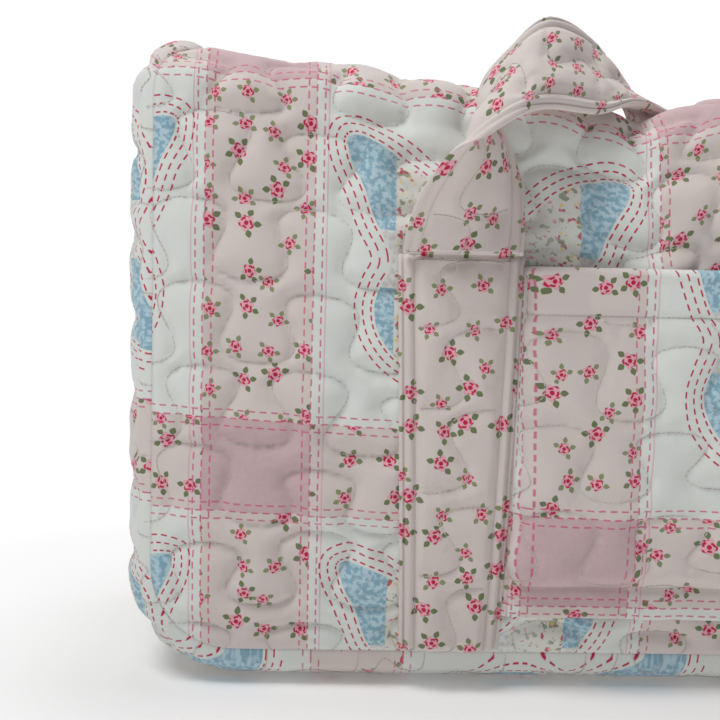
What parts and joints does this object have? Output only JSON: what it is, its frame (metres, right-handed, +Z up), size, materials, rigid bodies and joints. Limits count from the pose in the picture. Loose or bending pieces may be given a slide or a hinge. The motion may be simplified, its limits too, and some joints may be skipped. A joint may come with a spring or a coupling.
{
  "type": "knitting bag",
  "caption": "Soft quilted knitting bag with a boxed base, a recessed zip top, a front patch pocket and padded fabric carrying handles sewn on through long straps.",
  "frame": {"origin": "on the floor, under the middle of the bag's base", "axes": "+Z up, +X to the right of someone who faces the pocket, the pocket faces -Y"},
  "size_m": [0.53, 0.291, 0.3629],
  "materials": {
    "quilted_print": "quilted patchwork print",
    "floral_cotton": "small floral print",
    "pink_cotton": "plain dusty pink",
    "lining_cotton": "plain weave",
    "zip_tape": "herringbone tape",
    "zip_coil": "nylon",
    "zip_metal": "nickel plated",
    "board": "stiff sheet"
  },
  "bodies": {
    "bag": {"front_panel": "quilted_print", "back_panel": "quilted_print", "gusset": "quilted_print", "facing_front": "floral_cotton", "facing_back": "floral_cotton", "facing_left": "floral_cotton", "facing_right": "floral_cotton", "lining": "lining_cotton", "base_board": "board", "front_pocket": "quilted_print", "strap_front_left": "floral_cotton", "strap_front_right": "floral_cotton", "strap_back_left": "floral_cotton", "strap_back_right": "floral_cotton", "zip_tab_left": "pink_cotton", "zip_tab_right": "pink_cotton", "zip_end_left": "zip_tape", "zip_end_right": "zip_tape", "zip_stops": "zip_metal"},
    "handle_front": {"handle_front": "floral_cotton"},
    "handle_back": {"handle_back": "floral_cotton"},
    "flap_front": {"zip_flap_front": "pink_cotton", "zip_tape_front": "zip_tape", "zip_coil_front": "zip_coil"},
    "flap_back": {"zip_flap_back": "pink_cotton", "zip_tape_back": "zip_tape", "zip_coil_back": "zip_coil"},
    "slider": {"zip_slider": "zip_metal"},
    "pull": {"zip_pull": "zip_metal"}
  },
  "joints": [
    {"name": "handle_front_swing", "type": "hinge", "parent": "bag", "child": "handle_front", "pos_m": [0, -0.1185, 0.235], "axis": [1, 0, 0], "range_deg": [0, 120]},
    {"name": "handle_back_swing", "type": "hinge", "parent": "bag", "child": "handle_back", "pos_m": [0, 0.1185, 0.235], "axis": [1, 0, 0], "range_deg": [0, 160]},
    {"name": "flap_front_fold", "type": "hinge", "parent": "bag", "child": "flap_front", "pos_m": [0, -0.0465, 0.2594], "axis": [1, 0, 0], "range_deg": [-80, 0]},
    {"name": "flap_back_fold", "type": "hinge", "parent": "bag", "child": "flap_back", "pos_m": [0, 0.0465, 0.2594], "axis": [-1, 0, 0], "range_deg": [-80, 0]},
    {"name": "zip_travel", "type": "slide", "parent": "bag", "child": "slider", "axis": [-1, 0, 0], "range_m": [0, 0.372]},
    {"name": "pull_flip", "type": "hinge", "parent": "slider", "child": "pull", "pos_m": [0.186, 0, 0.2649], "axis": [0, 1, 0], "range_deg": [0, 165]}
  ]
}
